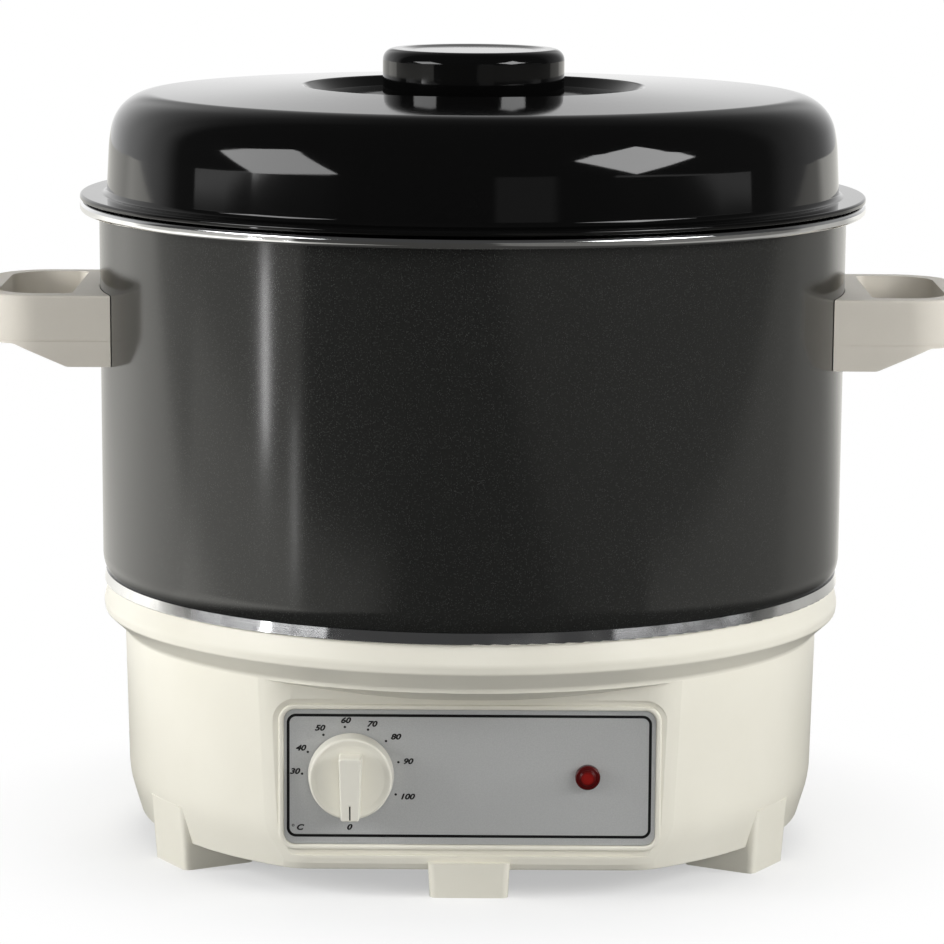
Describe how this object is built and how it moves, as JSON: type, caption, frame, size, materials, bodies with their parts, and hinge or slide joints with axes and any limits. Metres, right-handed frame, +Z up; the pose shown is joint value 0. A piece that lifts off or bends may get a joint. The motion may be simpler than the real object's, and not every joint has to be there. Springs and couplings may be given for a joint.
{
  "type": "candle wax melter",
  "caption": "Electric wax melting pot: round enamelled pot with lift-off lid and two loop handles on a moulded base with a thermostat knob and a pilot lamp.",
  "frame": {"origin": "on the floor under the middle of the pot", "axes": "+Z up; -Y towards the control panel; +X to the right handle seen from the front"},
  "size_m": [0.458, 0.3678, 0.372],
  "materials": {
    "enamel_anthracite": "gloss speckled enamel",
    "bright_steel": "polished",
    "lid_black": "high gloss",
    "base_cream": "satin gloss",
    "handle_grey": "fine matt",
    "knob_cream": "satin",
    "panel_silver": "satin printed plate",
    "lamp_red": "dark red, see-through",
    "lamp_glass": "clear",
    "black_plastic": "matt",
    "white_plastic": "matt",
    "steel_zinc": "zinc plated",
    "aluminium_plate": "rolled",
    "element_steel": "oxidised tube",
    "ceramic_white": "unglazed",
    "copper_bulb": "drawn tube",
    "wire_brown": "silicone sleeve",
    "wire_blue": "silicone sleeve",
    "wire_green": "silicone sleeve",
    "wire_white": "silicone sleeve"
  },
  "bodies": {
    "melter": {"pot": "enamel_anthracite", "rim_ring": "bright_steel", "base_band": "bright_steel", "base_shell": "base_cream", "control_panel": "panel_silver", "thermostat_body": "black_plastic", "thermostat_screws": "steel_zinc", "capillary_bulb": "copper_bulb", "bulb_clips": "steel_zinc", "pilot_lens": "lamp_red", "pilot_body": "white_plastic", "neon_lamp": "lamp_glass", "heater_studs": "steel_zinc", "heater_plate": "aluminium_plate", "heating_element": "element_steel", "element_terminals": "ceramic_white", "heater_bridge": "steel_zinc", "heater_nuts": "steel_zinc", "heat_shield": "aluminium_plate", "tie_rods": "steel_zinc", "thermal_cutout": "black_plastic", "cutout_screws": "steel_zinc", "base_cover": "steel_zinc", "cover_screws": "steel_zinc", "rod_screws": "steel_zinc", "cord_gland": "black_plastic", "gland_nut": "black_plastic", "terminal_block": "white_plastic", "block_screws": "steel_zinc", "earth_tag": "steel_zinc", "lead_live": "wire_brown", "lead_switched": "wire_brown", "lead_neutral": "wire_blue", "lead_earth": "wire_green", "lamp_leads": "wire_white", "handle_left": "handle_grey", "handle_right": "handle_grey", "handle_lugs": "enamel_anthracite", "handle_screws": "steel_zinc"},
    "lid": {"lid_shell": "lid_black", "lid_knob": "lid_black", "lid_washer": "steel_zinc", "lid_screw": "steel_zinc"},
    "thermostat_knob": {"thermostat_knob": "knob_cream", "thermostat_spindle": "steel_zinc"}
  },
  "joints": [
    {"name": "lid_lift", "type": "slide", "parent": "melter", "child": "lid", "axis": [0, 0, 1], "range_m": [0, 0.14]},
    {"name": "thermostat_turn", "type": "hinge", "parent": "melter", "child": "thermostat_knob", "pos_m": [-0.05294, -0.137, 0.05578], "axis": [0, 1, 0], "range_deg": [0, 294]}
  ]
}
